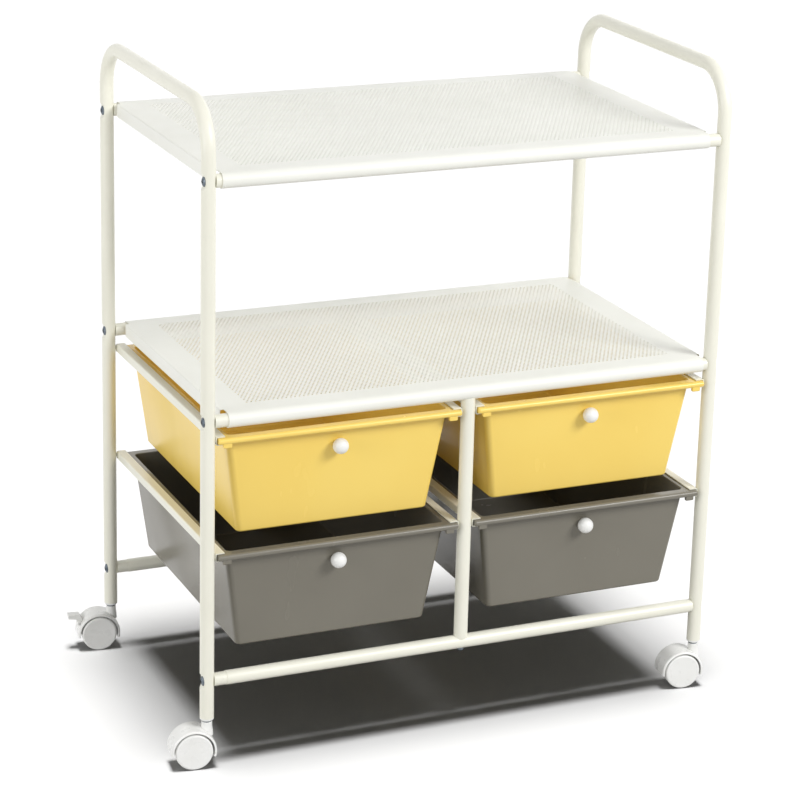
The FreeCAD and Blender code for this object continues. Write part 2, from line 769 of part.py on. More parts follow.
def brake_lever():
    pivot = lever_pivot()
    hub_r = lever_hub_d / 2
    y = -lever_width / 2

    def at(u, w):
        return vec(pivot.x + u, y, pivot.z + w)

    hub = rod(hub_r, at(0, 0), Y_AXIS, lever_width)
    arm = polygon_face([at(-hub_r, 0), at(-hub_r, lever_rise), at(-lever_reach, lever_rise),
                        at(-lever_reach, lever_rise + paddle_t), at(0, lever_rise + paddle_t),
                        at(hub_r, lever_rise), at(hub_r, 0)]).extrude(Y_AXIS * lever_width)
    turn = math.radians(shoe_angle)
    shoe_x = shoe_offset * math.cos(turn)
    shoe_z = shoe_offset * math.sin(turn)
    shoe = rod(shoe_r, at(shoe_x, shoe_z), Y_AXIS, lever_width)
    side_x = -shoe_r * math.sin(turn)
    side_z = shoe_r * math.cos(turn)
    neck = polygon_face([at(side_x, side_z), at(shoe_x + side_x, shoe_z + side_z),
                         at(shoe_x - side_x, shoe_z - side_z), at(-side_x, -side_z)])
    pin_length = lever_width + 2 * (lever_side_gap + lever_ear)
    pin = rod(lever_pin_d / 2, pivot - Y_AXIS * (pin_length / 2), Y_AXIS, pin_length)
    return joined(hub, [arm, shoe, neck.extrude(Y_AXIS * lever_width), pin])


def placed_caster(shape, side, y):
    """A caster piece turned to its rest heading and moved under its leg."""
    copy = shape.copy()
    copy.rotate(vec(0, 0, 0), Z_AXIS, caster_rest_turn)
    copy.translate(vec(side * half_x, y, 0))
    return copy


# The cart, node by node

nodes = {}

for side, hand in ((-1, "left"), (1, "right")):
    nodes[hand + "_side_frame"] = side_frame(side)

for y, end in ((-half_y, "front"), (half_y, "rear")):
    nodes["top_" + end + "_bar"] = cross_bar(y, top_bar_z, top_bar_shift)
    nodes["middle_" + end + "_bar"] = middle_bar(y)
    nodes["bottom_" + end + "_bar"] = bottom_bar(y)
    nodes["centre_" + end + "_post"] = centre_post(y)

plugs = []
bolts = []
for side in SIDES:
    for y in (-half_y, half_y):
        for z, shift in BAR_LEVELS:
            plugs.append(bar_end_plug(side, y, z, shift))
            bolts.append(frame_bolt(side, y, z))
nodes["bar_end_plugs"] = Part.makeCompound(plugs)
nodes["frame_bolts"] = Part.makeCompound(bolts)
nodes["post_end_plugs"] = Part.makeCompound(post_end_plugs(-half_y) + post_end_plugs(half_y))
nodes["post_screws"] = Part.makeCompound([post_screw(y) for y in (-half_y, half_y)])

nodes["top_shelf_deck"] = shelf_deck(top_bar_z, top_bar_shift)
nodes["middle_shelf_deck"] = middle_shelf_deck()

for z, level in ((upper_rail_z, "upper"), (lower_rail_z, "lower")):
    for side, hand in ((-1, "left"), (1, "right")):
        label = level + "_" + hand
        x = side * drawer_x
        nodes[label + "_outer_rail"] = drawer_rail(side * outer_web_x, -side, side * half_x, tube_r, z)
        nodes[label + "_inner_rail"] = drawer_rail(side * inner_web_x, side, 0, post_r, z)
        nodes[label + "_drawer"] = drawer(x, z)
        nodes[label + "_knob"] = drawer_knob(x, z)
        nodes[label + "_knob_screw"] = knob_screw(x, z)

sockets = []
plain_hood = caster_hood(False)
brake_hood = caster_hood(True)
for y, end in ((-half_y, "front"), (half_y, "rear")):
    for side, hand in ((-1, "left"), (1, "right")):
        label = end + "_" + hand
        sockets.append(placed_caster(leg_socket(), side, y))
        nodes[label + "_caster_stem"] = placed_caster(caster_stem(), side, y)
        hood = brake_hood if end == "rear" else plain_hood
        nodes[label + "_caster_hood"] = placed_caster(hood, side, y)
        nodes[label + "_caster_axle"] = placed_caster(caster_axle(), side, y)
        nodes[label + "_front_wheel"] = placed_caster(caster_wheel(-1), side, y)
        nodes[label + "_rear_wheel"] = placed_caster(caster_wheel(1), side, y)
        if end == "rear":
            nodes[label + "_brake_lever"] = placed_caster(brake_lever(), side, y)
nodes["leg_sockets"] = Part.makeCompound(sockets)

# The casters trail to one side, so the middle of the footprint is measured on the finished cart
footprint = Part.makeCompound(list(nodes.values())).optimalBoundingBox(False, False)
to_origin = vec(-footprint.Center.x, -footprint.Center.y, -footprint.ZMin)

os.makedirs("parts", exist_ok=True)
for name, shape in nodes.items():
    shape.translated(to_origin).exportStep("parts/" + name + ".step")
print("moved by", [round(value, 4) for value in to_origin])
print("size", [round(value, 3) for value in (footprint.XLength, footprint.YLength, footprint.ZLength)])
print("nodes", len(nodes))
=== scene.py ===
import json
import math
import bmesh
import bpy
import numpy as np
from mathutils import Matrix, Vector

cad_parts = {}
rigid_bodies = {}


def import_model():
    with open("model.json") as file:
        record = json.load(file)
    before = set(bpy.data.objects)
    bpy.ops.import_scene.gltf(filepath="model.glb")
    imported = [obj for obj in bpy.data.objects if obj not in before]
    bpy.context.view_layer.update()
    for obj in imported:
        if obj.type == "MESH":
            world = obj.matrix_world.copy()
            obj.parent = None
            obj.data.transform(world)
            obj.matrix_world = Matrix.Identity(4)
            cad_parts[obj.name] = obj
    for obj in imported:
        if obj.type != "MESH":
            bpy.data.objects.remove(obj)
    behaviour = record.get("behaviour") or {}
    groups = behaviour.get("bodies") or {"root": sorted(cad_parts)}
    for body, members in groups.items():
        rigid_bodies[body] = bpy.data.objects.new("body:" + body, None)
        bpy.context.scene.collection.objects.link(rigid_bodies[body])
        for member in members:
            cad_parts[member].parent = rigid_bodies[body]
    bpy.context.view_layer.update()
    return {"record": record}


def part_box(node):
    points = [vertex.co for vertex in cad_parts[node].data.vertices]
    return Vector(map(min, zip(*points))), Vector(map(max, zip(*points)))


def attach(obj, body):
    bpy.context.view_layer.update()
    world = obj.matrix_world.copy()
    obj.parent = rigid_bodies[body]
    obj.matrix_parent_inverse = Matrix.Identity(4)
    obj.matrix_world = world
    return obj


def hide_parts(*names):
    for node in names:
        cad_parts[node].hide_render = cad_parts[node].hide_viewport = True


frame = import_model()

# Rolling drawer cart. The cart's lengths are in millimetres from the middle of the four legs, on the
# floor, with x to the right, y to the rear and z up. Floor and lamps are in metres.
MM = 1000
low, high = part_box("left_side_frame")[0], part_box("right_side_frame")[1]
CENTRE = np.array([(low[0] + high[0]) / 2 * MM, (low[1] + high[1]) / 2 * MM, 0.0])
HANDS = {"left": -1, "right": 1}
ENDS = {"front": -1, "rear": 1}

# Tubes: places of the axes, and the flats pressed into the legs as (reach from the axis, half height)
HALF_X, HALF_Y = 309.5, 174.5
TUBE_R, TUBE_WALL = 8.0, 1.0
LEG_BOTTOM, HANDLE, BEND_R = 57.2, 751.6, 50.0
BOTTOM_BAR, MIDDLE_BAR, TOP_BAR = 101.5, 405.3, 672.6
FLAT_LEVELS = (BOTTOM_BAR, MIDDLE_BAR, TOP_BAR)
OUTER_FLAT, INNER_FLAT, FLAT_RUN = (4.9, 6.3), (7.0, 8.0), 0.9
FLAT_EDGES = (6.3, 6.7, 7.2, 8.0, 8.4, 8.9, 9.1, 9.6)
BEND_STEPS = 20

# Shelves: half width of the rolls, sideways shift of each shelf, sheet, folds and punched holes
BAR_HALF = 292.0
SHELVES = (("top", TOP_BAR, -4.0), ("middle", MIDDLE_BAR, 4.5))
SHEET = 0.7
ROLL_IN, ROLL_OUT, ROLL_ANGLE, ROLL_STEPS = 8.05, 8.75, 230, 30
FOLD_REACH, FOLD_DROP, FOLD_HALF, FOLD_R = 4.5, 15.0, 163.75, 1.6
HOLE_PITCH, HOLE_ROW, HOLE_R, HOLE_SIDES = 5.15, 4.46, 1.6, 6
HOLE_COLUMNS, HOLE_ROWS = 102, 68
FIELD_X = HOLE_COLUMNS * HOLE_PITCH / 2
FIELD_Y = HOLE_ROWS * HOLE_ROW / 2

# Drawers: rim, walls measured inwards from the rim, stop tabs and knobs
RAILS = {"upper": 383.1, "lower": 247.6}
DRAWER_X, DRAWER_HALF, DRAWER_HEIGHT = 154.75, 144.35, 120.3
RIM_FRONT, RIM_REAR, RIM_HALF = -183.8, 170.2, 3.4
RIM_CORNER, RIM_TUCK, RIM_LEDGE = 2.0, 0.8, 3.5
WALL_SIDE, WALL_FRONT, WALL_REAR = 12.0, 11.5, 8.7
WALL, BASE, WALL_ROWS = 2.0, 2.2, 8
SIDE_DRAFT, FRONT_DRAFT, REAR_DRAFT = math.radians(8.4), math.radians(6.3), math.radians(1.5)
REAR_NARROWING, CORNER_R, FOOT_R, BASE_INSET = 1.6, 7.0, 2.6, 9.0
INNER_CORNER_R, INNER_FOOT_R = CORNER_R - WALL, 2.0
TAB_IN, TAB_HALF, TAB_FRONT, TAB_REAR, TAB_DROP, TAB_BEVEL = 10.2, 5, -182.7, -178.3, 7.8, 0.8
KNOB_DEPTH, KNOB_R, KNOB_NECK_R, KNOB_EDGE = 25.4, 9.0, 4.5, 0.3

# Casters: wheels and hood round the axle, and the brake lever on its pivot above the hood
WHEEL_R, TRAIL, REST_TURN = 21.2, 16.5, math.radians(-8.0)
AXLE_R = 2.55
HOOD_IN, HOOD_OUT, HOOD_HALF, HOOD_MOUTH, HOOD_EDGE_R = 23.2, 25.7, 15.0, 14.6, 2.4
HOOD_FROM, HOOD_TO, HOOD_STEPS = -15, 188, 58
WEB_OVERLAP, WEB_HUB_R, WEB_HALF = 1.0, 5.0, 2.5
PIVOT_ANGLE, PIVOT_RISE, EAR_OFFSET = math.radians(150), 1.1, 6.5


# Materials

NOISE_DETAIL = 3.0
COAT_PEEL = (700, 0.10, 0.0004, None)
MOULD_GRAIN = (500, 0.04, 0.0003, None)
DRAWER_BUMPS = ((420, 0.05, 0.0003, None), (7, 0.06, 0.003, (1, 1, 0.4)))


def linear(*srgb):
    return tuple(c / 12.92 if c <= 0.04045 else ((c + 0.055) / 1.055) ** 2.4 for c in srgb)


class Paint:
    """A node material: two close tones mixed by noise, with noise in its roughness and bump."""

    def __init__(self, name):
        self.material = bpy.data.materials.new(name)
        self.material.use_nodes = True
        self.nodes = self.material.node_tree.nodes
        self.links = self.material.node_tree.links
        self.shader = self.nodes["Principled BSDF"]
        self.place = self.nodes.new("ShaderNodeTexCoord").outputs["Object"]

    def noise(self, scale, stretch=None):
        place = self.place
        if stretch:
            mapping = self.nodes.new("ShaderNodeMapping")
            mapping.inputs["Scale"].default_value = stretch
            self.links.new(place, mapping.inputs["Vector"])
            place = mapping.outputs["Vector"]
        node = self.nodes.new("ShaderNodeTexNoise")
        node.inputs["Scale"].default_value = scale
        node.inputs["Detail"].default_value = NOISE_DETAIL
        self.links.new(place, node.inputs["Vector"])
        return node.outputs["Fac"]

    def ramp(self, value, stops):
        node = self.nodes.new("ShaderNodeValToRGB")
        for end, (at, colour) in zip(node.color_ramp.elements, stops):
            end.position = at
            end.color = (*colour, 1.0)
        self.links.new(value, node.inputs["Fac"])
        return node.outputs["Color"]

    def tones(self, scale, first, second):
        colour = self.ramp(self.noise(scale), ((0.35, first), (0.65, second)))
        self.links.new(colour, self.shader.inputs["Base Color"])
        return self

    def gloss(self, scale, least, most, stretch=None):
        """Roughness between two values."""
        grey = self.ramp(self.noise(scale, stretch), ((0.3, (least,) * 3), (0.7, (most,) * 3)))
        self.links.new(grey, self.shader.inputs["Roughness"])
        return self

    def bump(self, *layers):
        """Layers of bump, each a noise scale, a strength, a distance in metres and a stretch."""
        normal = None
        for scale, strength, distance, stretch in layers:
            node = self.nodes.new("ShaderNodeBump")
            node.inputs["Strength"].default_value = strength
            node.inputs["Distance"].default_value = distance
            self.links.new(self.noise(scale, stretch), node.inputs["Height"])
            if normal:
                self.links.new(normal, node.inputs["Normal"])
            normal = node.outputs["Normal"]
        self.links.new(normal, self.shader.inputs["Normal"])
        return self

    def set(self, **values):
        """Values of the shader's own sockets, with _ for a space in a socket's name."""
        for name, value in values.items():
            self.shader.inputs[name.replace("_", " ")].default_value = value
        return self


IVORY_TONES = linear(0.914, 0.908, 0.852), linear(0.928, 0.922, 0.868)

ivory = Paint("powder_coat_ivory").tones(14, *IVORY_TONES)
ivory.gloss(60, 0.3, 0.42).bump(COAT_PEEL, (90, 0.05, 0.0008, None))
ivory.set(Specular_IOR_Level=0.45, Coat_Weight=0.15, Coat_Roughness=0.2)

deck = Paint("powder_coat_deck").tones(9, linear(0.925, 0.925, 0.895), linear(0.938, 0.938, 0.91))
deck.gloss(50, 0.36, 0.48).bump(COAT_PEEL, (60, 0.04, 0.001, None))
deck.set(Specular_IOR_Level=0.4)

yellow = Paint("moulded_plastic_yellow")
yellow.tones(6, linear(0.955, 0.822, 0.41), linear(0.965, 0.842, 0.44))
grey = Paint("moulded_plastic_grey")
grey.tones(6, linear(0.462, 0.447, 0.405), linear(0.482, 0.467, 0.425))
for paint in (yellow, grey):
    paint.gloss(25, 0.18, 0.28, (1, 1, 0.35)).bump(*DRAWER_BUMPS).set(Specular_IOR_Level=0.35)

white = Paint("moulded_plastic_white")
white.tones(30, linear(0.925, 0.925, 0.912), linear(0.94, 0.94, 0.93))
plug = Paint("moulded_plastic_ivory").tones(30, *IVORY_TONES)
for paint in (white, plug):
    paint.gloss(80, 0.24, 0.34).bump(MOULD_GRAIN).set(Specular_IOR_Level=0.5)

steel = Paint("zinc_plated_steel").tones(220, linear(0.30, 0.33, 0.36), linear(0.46, 0.49, 0.52))
steel.gloss(300, 0.22, 0.42, (1, 1, 6)).bump((900, 0.15, 0.0003, (1, 1, 5))).set(Metallic=1.0)

MATERIALS = {"ivory_paint": ivory, "deck_paint": deck, "yellow_plastic": yellow, "grey_plastic": grey,
             "white_plastic": white, "ivory_plastic": plug, "plated_steel": steel}


# Building pieces

CREASE = math.radians(35)


def arc(radius, start, end, steps, x=0.0, y=0.0):
    """Points of an arc round (x, y), with its angles in degrees."""
    angles = [math.radians(start + (end - start) * k / steps) for k in range(steps + 1)]
    return [(x + radius * math.cos(a), y + radius * math.sin(a)) for a in angles]


def rounded(x0, x1, y0, y1, r, z, steps=8):
    """Level outline with rounded corners, counted from the front right corner."""
    corners = ((x1 - r, y0 + r, -90), (x1 - r, y1 - r, 0), (x0 + r, y1 - r, 90), (x0 + r, y0 + r, 180))
    return [(u, v, z) for x, y, start in corners for u, v in arc(r, start, start + 90, steps, x, y)]


class Shape:
    """Points and faces of one piece."""

    def __init__(self):
        self.points = []
        self.faces = []

    def add(self, points, faces):
        base = len(self.points)
        self.points.extend(tuple(p) for p in points)
        self.faces.extend(tuple(i + base for i in face) for face in faces)
        return self

    def loft(self, rings, caps=True, closed=False):
        """Skin over rings of equal count; closed joins the last ring to the first."""
        count = len(rings[0])
        faces = []
        pairs = len(rings) if closed else len(rings) - 1
        for k in range(pairs):
            a = k * count
            b = (k + 1) % len(rings) * count
            for i in range(count):
                j = (i + 1) % count
                faces.append((a + i, a + j, b + j, b + i))
        if caps and not closed:
            faces.append(tuple(range(count))[::-1])
            faces.append(tuple(range((len(rings) - 1) * count, len(rings) * count)))
        return self.add([p for ring in rings for p in ring], faces)

    def extrude(self, outline, at, start, end):
        """Solid of an outline of (u, v) pairs; at(u, v, w) places a point at w along the extrusion."""
        return self.loft([[at(u, v, w) for u, v in outline] for w in (start, end)])

    def turn(self, profile, at, steps=48):
        """Solid of revolution placed by at(u, v, height).

        The profile is a run of (radius, height), on the axis at both ends, or closed and off the axis.
        """
        on_axis = profile[0][0] == 0
        body = profile[1:-1] if on_axis else profile
        angles = [2 * math.pi * i / steps for i in range(steps)]
        rings = [[at(radius * math.cos(a), radius * math.sin(a), height) for a in angles]
                 for radius, height in body]
        if not on_axis:
            return self.loft(rings, closed=True)
        self.loft(rings, caps=False)
        last = len(self.points)
        first = last - len(body) * steps
        self.points.append(tuple(at(0, 0, profile[0][1])))
        self.points.append(tuple(at(0, 0, profile[-1][1])))
        for i in range(steps):
            j = (i + 1) % steps
            self.faces.append((last, first + j, first + i))
            self.faces.append((last + 1, last - steps + i, last - steps + j))
        return self

    def block(self, lo, hi, bevel):
        """A box with bevelled edges."""
        rings = []
        for z, inset in ((lo[2], bevel), (lo[2] + bevel, 0.0), (hi[2] - bevel, 0.0), (hi[2], bevel)):
            rings.append(rounded(lo[0] + inset, hi[0] - inset, lo[1] + inset, hi[1] - inset, bevel, z, 3))
        return self.loft(rings)


def piece(name, shape, body, slot, nodes=(), even=True):
    """Makes a shape into an object that rides on a body; even gives its shading weighted normals."""
    mesh = bpy.data.meshes.new(name)
    places = (np.array(shape.points) + CENTRE) / MM
    mesh.from_pydata(places.tolist(), [], shape.faces)
    work = bmesh.new()
    work.from_mesh(mesh)
    bmesh.ops.recalc_face_normals(work, faces=work.faces)
    work.to_mesh(mesh)
    work.free()
    mesh.materials.append(MATERIALS[slot].material)
    mesh.shade_smooth()
    mesh.set_sharp_from_angle(angle=CREASE)
    obj = bpy.data.objects.new(name, mesh)
    bpy.context.scene.collection.objects.link(obj)
    if even:
        obj.modifiers.new("even_shading", "WEIGHTED_NORMAL").keep_sharp = True
    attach(obj, body)
    if nodes:
        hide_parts(*nodes)
    return obj


# Side frames: tubes bent into legs and handle, with flats pressed in at the bars

def tube_path(x):
    """Points of the tube's axis with their directions, close together where the legs are pressed flat."""
    steps = [-edge for edge in FLAT_EDGES[::-1]] + list(FLAT_EDGES)
    heights = [LEG_BOTTOM] + [z + step for z in FLAT_LEVELS for step in steps]
    path = [((x, -HALF_Y, z), (0, 0, 1)) for z in heights]
    for start, y in ((180, -HALF_Y + BEND_R), (90, HALF_Y - BEND_R)):
        for k in range(BEND_STEPS + 1):
            a = math.radians(start - 90 * k / BEND_STEPS)
            path.append(((x, y + BEND_R * math.cos(a), HANDLE - BEND_R + BEND_R * math.sin(a)),
                         (0, math.sin(a), -math.cos(a))))
    path += [((x, HALF_Y, z), (0, 0, -1)) for z in heights[::-1]]
    return path


def flat_reach(z, flat, sunk):
    """How far the leg's surface, or one sunk below it, may stand from the axis towards a flat."""
    reach, half = flat
    off = min(abs(z - level) for level in FLAT_LEVELS)
    half += sunk * (math.hypot(1, FLAT_RUN) - FLAT_RUN)
    return reach - sunk + max(off - half, 0.0) / FLAT_RUN


def tube_rings(path, side, radius, sunk, steps=48):
    rings = []
    for centre, along in path:
        other = Vector(along).cross(Vector((1, 0, 0)))
        outward = flat_reach(centre[2], OUTER_FLAT, sunk)
        inward = flat_reach(centre[2], INNER_FLAT, sunk)
        ring = []
        for i in range(steps):
            a = 2 * math.pi * i / steps
            out = min(max(side * radius * math.cos(a), -inward), outward)
            ring.append(tuple(Vector(centre) + Vector((side * out, 0, 0)) + radius * math.sin(a) * other))
        rings.append(ring)
    return rings


for hand, side in HANDS.items():
    path = tube_path(side * HALF_X)
    outside = tube_rings(path, side, TUBE_R, 0.0)
    inside = tube_rings(path, side, TUBE_R - TUBE_WALL, TUBE_WALL)
    frame_tube = Shape().loft(outside + inside[::-1], closed=True)
    piece(hand + "_bent_tube", frame_tube, "frame", "ivory_paint", [hand + "_side_frame"], even=False)


# Shelf decks: sheet rolled round the bars, folded sides and a field of punched holes

def roll_outline(end):
    """Section of the front or rear border with its roll, as y and the height from the bar's axis."""
    outer = arc(ROLL_OUT, 90, 90 + ROLL_ANGLE, ROLL_STEPS, -HALF_Y)
    inner = arc(ROLL_IN, 90, 90 + ROLL_ANGLE, ROLL_STEPS, -HALF_Y)
    outline = [(-FIELD_Y, ROLL_OUT)] + outer + inner[::-1] + [(-FIELD_Y, ROLL_IN)]
    return [(-end * y, z) for y, z in outline]


def fold_outline():
    """Section of a folded side border, as x from the shelf's middle and the height from the bar's axis."""
    edge = BAR_HALF + FOLD_REACH
    bend = edge - FOLD_R, ROLL_OUT - FOLD_R
    foot = ROLL_OUT - FOLD_DROP
    return ([(BAR_HALF, ROLL_IN), (BAR_HALF, ROLL_OUT)] + arc(FOLD_R, 90, 0, 6, *bend)
            + [(edge, foot), (edge - SHEET, foot)] + arc(FOLD_R - SHEET, 0, 90, 6, *bend))


def deck_border(z, shift):
    shape = Shape()
    for end in ENDS.values():
        shape.extrude(roll_outline(end), lambda u, v, w: (w, u, z + v), shift - BAR_HALF, shift + BAR_HALF)
    for side in HANDS.values():
        shape.extrude(fold_outline(), lambda u, v, w: (shift + side * u, w, z + v), -FOLD_HALF, FOLD_HALF)
        strip = [(side * FIELD_X, ROLL_IN), (side * BAR_HALF, ROLL_IN),
                 (side * BAR_HALF, ROLL_OUT), (side * FIELD_X, ROLL_OUT)]
        shape.extrude(strip, lambda u, v, w: (shift + u, w, z + v), -FIELD_Y, FIELD_Y)
    return shape


def punched_field(z, shift, first, last):
    """Rows of the punched sheet: brick cells with a six-sided hole each, and half cells at the row ends."""
    index = {}
    plan = []
    flat = []

    def at(column, row):
        """Corner of the cell net, counted in half pitches along a row."""
        key = (column, row)
        if key not in index:
            index[key] = len(plan)
            plan.append((shift - FIELD_X + column * HOLE_PITCH / 2, -FIELD_Y + row * HOLE_ROW))
        return index[key]

    for row in range(first, last):
        odd = row % 2
        for cell in range(HOLE_COLUMNS - odd):
            c = 2 * cell + odd
            ring = [at(c + k, row) for k in (0, 1, 2)] + [at(c + k, row + 1) for k in (2, 1, 0)]
            x = shift - FIELD_X + (c + 1) * HOLE_PITCH / 2
            y = -FIELD_Y + (row + 0.5) * HOLE_ROW
            hole = [len(plan) + k for k in range(HOLE_SIDES)]
            plan += arc(HOLE_R, 210, 570, HOLE_SIDES, x, y)[:-1]
            for k in range(HOLE_SIDES):
                n = (k + 1) % HOLE_SIDES
                flat.append((ring[k], ring[n], hole[n], hole[k]))
        if odd:
            for c in (0, 2 * HOLE_COLUMNS - 1):
                flat.append((at(c, row), at(c + 1, row), at(c + 1, row + 1), at(c, row + 1)))
    edges = dict.fromkeys((a, b) for face in flat for a, b in zip(face, face[1:] + face[:1]))
    rim = [(a, b) for a, b in edges if (b, a) not in edges]
    count = len(plan)
    points = [(x, y, z + ROLL_OUT) for x, y in plan] + [(x, y, z + ROLL_IN) for x, y in plan]
    faces = list(flat)
    faces += [tuple(i + count for i in face[::-1]) for face in flat]
    faces += [(b, a, a + count, b + count) for a, b in rim]
    return Shape().add(points, faces)


punched = {}
half_way = HOLE_ROWS // 2
for level, z, shift in SHELVES:
    piece(level + "_shelf_sheet", deck_border(z, shift), "frame", "deck_paint", [level + "_shelf_deck"],
          even=False)
    punched[level] = []
    for end, first, last in (("front", 0, half_way), ("rear", half_way, HOLE_ROWS)):
        field = punched_field(z, shift, first, last)
        name = "%s_shelf_punched_%s" % (level, end)
        punched[level].append(piece(name, field, "frame", "deck_paint", even=False))


# Drawers: moulded bins with a hanging rim, and their knobs

def drawer_shape(x, z):
    def wall(depth, inset, r=CORNER_R):
        """Outline of the tapered wall at a depth below the rim's top, inset from the outside."""
        wide = DRAWER_HALF - WALL_SIDE - depth * math.tan(SIDE_DRAFT) - inset
        slim = wide - REAR_NARROWING
        front = RIM_FRONT + WALL_FRONT + depth * math.tan(FRONT_DRAFT) + inset
        rear = RIM_REAR - WALL_REAR - depth * math.tan(REAR_DRAFT) - inset
        corners = ((wide - r, front + r, -90), (slim - r, rear - r, 0),
                   (r - slim, rear - r, 90), (r - wide, front + r, 180))
        return [(px, py, z + RIM_HALF - depth) for u, v, start in corners
                for px, py in arc(r, start, start + 90, 8, x + u, v)]

    def rim(inset, front, height, corner=RIM_CORNER):
        """Outline of the rim at a height from its middle, with its own inset at the front."""
        return rounded(x - DRAWER_HALF + inset, x + DRAWER_HALF - inset,
                       RIM_FRONT + front, RIM_REAR - inset, corner, z + height)

    quarter = [math.radians(15 * k) for k in range(7)]
    inside_foot = DRAWER_HEIGHT - BASE

    # From under the base up the outside
    rings = [wall(DRAWER_HEIGHT, BASE_INSET, 3.0)]
    for a in quarter:
        inset = FOOT_R * (1 - math.sin(a))
        rings.append(wall(DRAWER_HEIGHT - FOOT_R * (1 - math.cos(a)), inset, CORNER_R - inset))
    rings += [wall(DRAWER_HEIGHT * k / WALL_ROWS, 0.0) for k in range(WALL_ROWS - 1, 0, -1)]
    rings += [wall(*step) for step in ((5.2, 0.0), (3.6, -0.4), (2.6, -1.4), (2.4, -2.6))]

    # Round the rim, from its hollow underside over its bead
    for inset, height, corner in ((2.6, RIM_HALF - 2.4, 1.0), (2.0, RIM_HALF - 3.0, 1.0),
                                  (2.0, -RIM_HALF + 0.4, 1.0), (1.6, -RIM_HALF, 1.2)):
        rings.append(rim(inset, inset + RIM_LEDGE, height, corner))
    for k in range(13):
        a = math.radians(-90 + 15 * k)
        tuck = RIM_TUCK * (1 - math.cos(a)) ** 2
        rings.append(rim(tuck, RIM_HALF * (1 - math.cos(a)), RIM_HALF * math.sin(a)))

    # Down the inside to the floor
    rings += [wall(0.0, 0.6), wall(0.15, 1.3, 6.0), wall(0.6, 1.8, 5.4), wall(1.6, WALL, INNER_CORNER_R)]
    rings += [wall(DRAWER_HEIGHT * k / WALL_ROWS, WALL, INNER_CORNER_R) for k in range(1, WALL_ROWS)]
    for a in quarter[::-1]:
        inset = INNER_FOOT_R * (1 - math.sin(a))
        depth = inside_foot - INNER_FOOT_R * (1 - math.cos(a))
        rings.append(wall(depth, WALL + inset, INNER_CORNER_R - inset))
    rings.append(wall(inside_foot, BASE_INSET, 2.0))

    shape = Shape().loft(rings)
    for side in HANDS.values():
        tab = x + side * (DRAWER_HALF - TAB_IN)
        shape.block((tab - TAB_HALF, TAB_FRONT, z - TAB_DROP), (tab + TAB_HALF, TAB_REAR, z), TAB_BEVEL)
    return shape


def knob_frame(x, z):
    """Places points given as (u, v, height) on the knob's seat on the slanted front wall."""
    seat = Vector((x, RIM_FRONT + WALL_FRONT + KNOB_DEPTH * math.tan(FRONT_DRAFT),
                   z + RIM_HALF - KNOB_DEPTH))
    out = Vector((0, -math.cos(FRONT_DRAFT), -math.sin(FRONT_DRAFT)))
    across = Vector((1, 0, 0))
    upward = out.cross(across)
    return lambda u, v, h: tuple(seat + across * u + upward * v + out * h)


def knob_profile():
    """A ball on a short neck, as (radius, height) from the seat."""
    start = math.asin(KNOB_NECK_R / KNOB_R)
    rise = KNOB_R * math.cos(start)
    ball = arc(KNOB_R, math.degrees(start) - 90, 90, 24, 0.0, rise)[1:-1]
    neck = [(0, 0), (KNOB_NECK_R - KNOB_EDGE, 0), (KNOB_NECK_R, KNOB_EDGE)]
    return neck + ball + [(0, rise + KNOB_R)]


for level, z in RAILS.items():
    for hand, side in HANDS.items():
        label = level + "_" + hand
        unit = label + "_drawer_unit"
        x = side * DRAWER_X
        slot = "yellow_plastic" if level == "upper" else "grey_plastic"
        piece(label + "_bin", drawer_shape(x, z), unit, slot, [label + "_drawer"])
        ball = Shape().turn(knob_profile(), knob_frame(x, z))
        piece(label + "_ball_knob", ball, unit, "white_plastic", [label + "_knob"], even=False)


# Casters: hood, twin wheels and brake lever, placed from a caster's own frame

def caster_frame(side, end):
    """Places points given from the swivel axis on the floor, with the wheels trailing along -x."""
    c, s = math.cos(REST_TURN), math.sin(REST_TURN)
    return lambda x, y, z: (side * HALF_X + x * c - y * s, end * HALF_Y + x * s + y * c, z)


def lever_pivot():
    reach = HOOD_OUT + PIVOT_RISE
    return -TRAIL + reach * math.cos(PIVOT_ANGLE), WHEEL_R + reach * math.sin(PIVOT_ANGLE)


def hood_shape(place, brake):
    shape = Shape()
    edge = HOOD_OUT - HOOD_EDGE_R, HOOD_HALF - HOOD_EDGE_R
    section = arc(HOOD_EDGE_R, 90, 0, 6, edge[0], edge[1]) + arc(HOOD_EDGE_R, 0, -90, 6, edge[0], -edge[1])
    section += [(HOOD_IN, -HOOD_MOUTH), (HOOD_IN, HOOD_MOUTH)]
    rings = []
    for k in range(HOOD_STEPS + 1):
        a = math.radians(HOOD_FROM + (HOOD_TO - HOOD_FROM) * k / HOOD_STEPS)
        rings.append([place(-TRAIL + r * math.cos(a), y, WHEEL_R + r * math.sin(a)) for r, y in section])
    shape.loft(rings)
    web = arc(HOOD_IN + WEB_OVERLAP, HOOD_FROM, HOOD_TO, 42, -TRAIL, WHEEL_R)
    web += arc(WEB_HUB_R, HOOD_TO, HOOD_FROM, 20, -TRAIL, WHEEL_R)
    shape.extrude(web, lambda u, v, w: place(u, w, v), -WEB_HALF, WEB_HALF)
    neck = [(0, 36.5), (7.2, 36.5), (6.6, 43.5), (6.2, 45.7), (6.0, 47.7), (6.0, 52.0), (5.5, 52.5),
            (0, 52.5)]
    shape.turn(neck, place, 36)
    if brake:
        px, pz = lever_pivot()
        ear = [(0, 0), (2.9, 0), (3.2, 0.3), (3.2, 2.7), (2.9, 3.0), (0, 3.0)]
        for sign in (-1, 1):
            shape.turn(ear, lambda u, v, h: place(px + u, sign * (EAR_OFFSET + h), pz + v), 24)
    return shape


